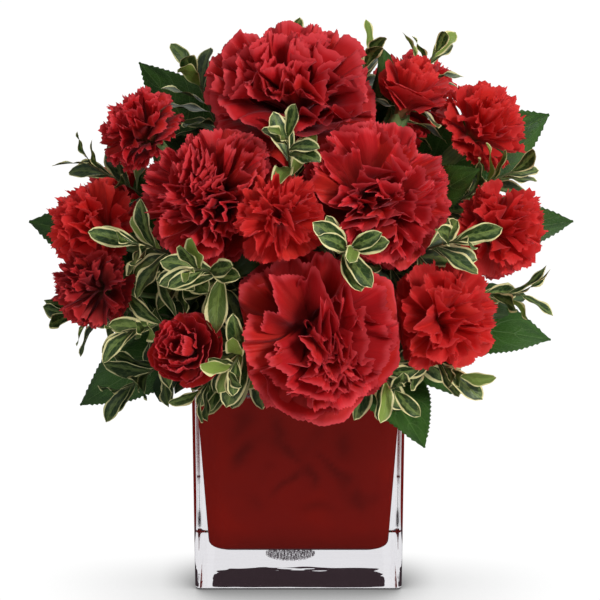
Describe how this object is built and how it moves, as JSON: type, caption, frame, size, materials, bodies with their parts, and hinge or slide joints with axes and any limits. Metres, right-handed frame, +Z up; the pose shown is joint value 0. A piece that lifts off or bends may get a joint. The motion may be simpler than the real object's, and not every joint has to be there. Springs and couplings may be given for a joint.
{
  "type": "carnations in a vase",
  "caption": "Round bouquet of red carnations with cream-edged sprigs and dark toothed leaves in a red-lined square clear glass vase, for standing on a table.",
  "frame": {"origin": "centre of the vase's flat underside", "axes": "+Z up, -Y towards the front of the bouquet, +X to its right"},
  "size_m": [0.2866, 0.2746, 0.2956],
  "materials": {
    "vase_glass": "clear polished glass",
    "red_lining": "smooth deep red skin inside the glass",
    "water": "still clear water",
    "petals": "soft velvety petals",
    "stems": "waxy grey-green stems and calyxes",
    "variegated_leaves": "smooth grey-green leaves with a cream edge",
    "dark_leaves": "glossy dark green leaves"
  },
  "bodies": {
    "root": {"carnation_back_left": "petals", "carnation_back_right": "petals", "carnation_front": "petals", "carnation_left": "petals", "carnation_right": "petals", "carnation_top": "petals", "leaf_back_low_left": "dark_leaves", "leaf_back_low_right": "dark_leaves", "leaf_back_top": "dark_leaves", "leaf_front": "dark_leaves", "leaf_low_left": "dark_leaves", "leaf_low_right": "dark_leaves", "leaf_middle_right": "dark_leaves", "leaf_top": "dark_leaves", "leaves_left": "dark_leaves", "leaves_right": "dark_leaves", "spray_carnation_back_low": "petals", "spray_carnation_back_low_left": "petals", "spray_carnation_back_low_right": "petals", "spray_carnation_back_top": "petals", "spray_carnation_cup": "petals", "spray_carnation_half_open": "petals", "spray_carnation_left": "petals", "spray_carnation_lower_left": "petals", "spray_carnation_lower_right": "petals", "spray_carnation_middle": "petals", "spray_carnation_right": "petals", "spray_carnation_upper_left": "petals", "spray_carnation_upper_right": "petals", "spray_stem_back_left": "stems", "spray_stem_back_right": "stems", "spray_stem_front": "stems", "spray_stem_left": "stems", "spray_stem_right": "stems", "spray_stem_upper_right": "stems", "sprig_back_low": "variegated_leaves", "sprig_back_top": "variegated_leaves", "sprig_centre": "variegated_leaves", "sprig_left": "variegated_leaves", "sprig_low_front": "variegated_leaves", "sprig_low_left": "variegated_leaves", "sprig_low_right": "variegated_leaves", "sprig_right": "variegated_leaves", "sprig_top": "variegated_leaves", "sprig_upper_front": "variegated_leaves", "sprig_upper_left": "variegated_leaves", "sprig_upper_right": "variegated_leaves", "stem_back_left": "stems", "stem_back_right": "stems", "stem_front": "stems", "stem_left": "stems", "stem_right": "stems", "stem_top": "stems", "vase": "vase_glass", "vase_lining": "red_lining", "water": "water"}
  },
  "joints": []
}
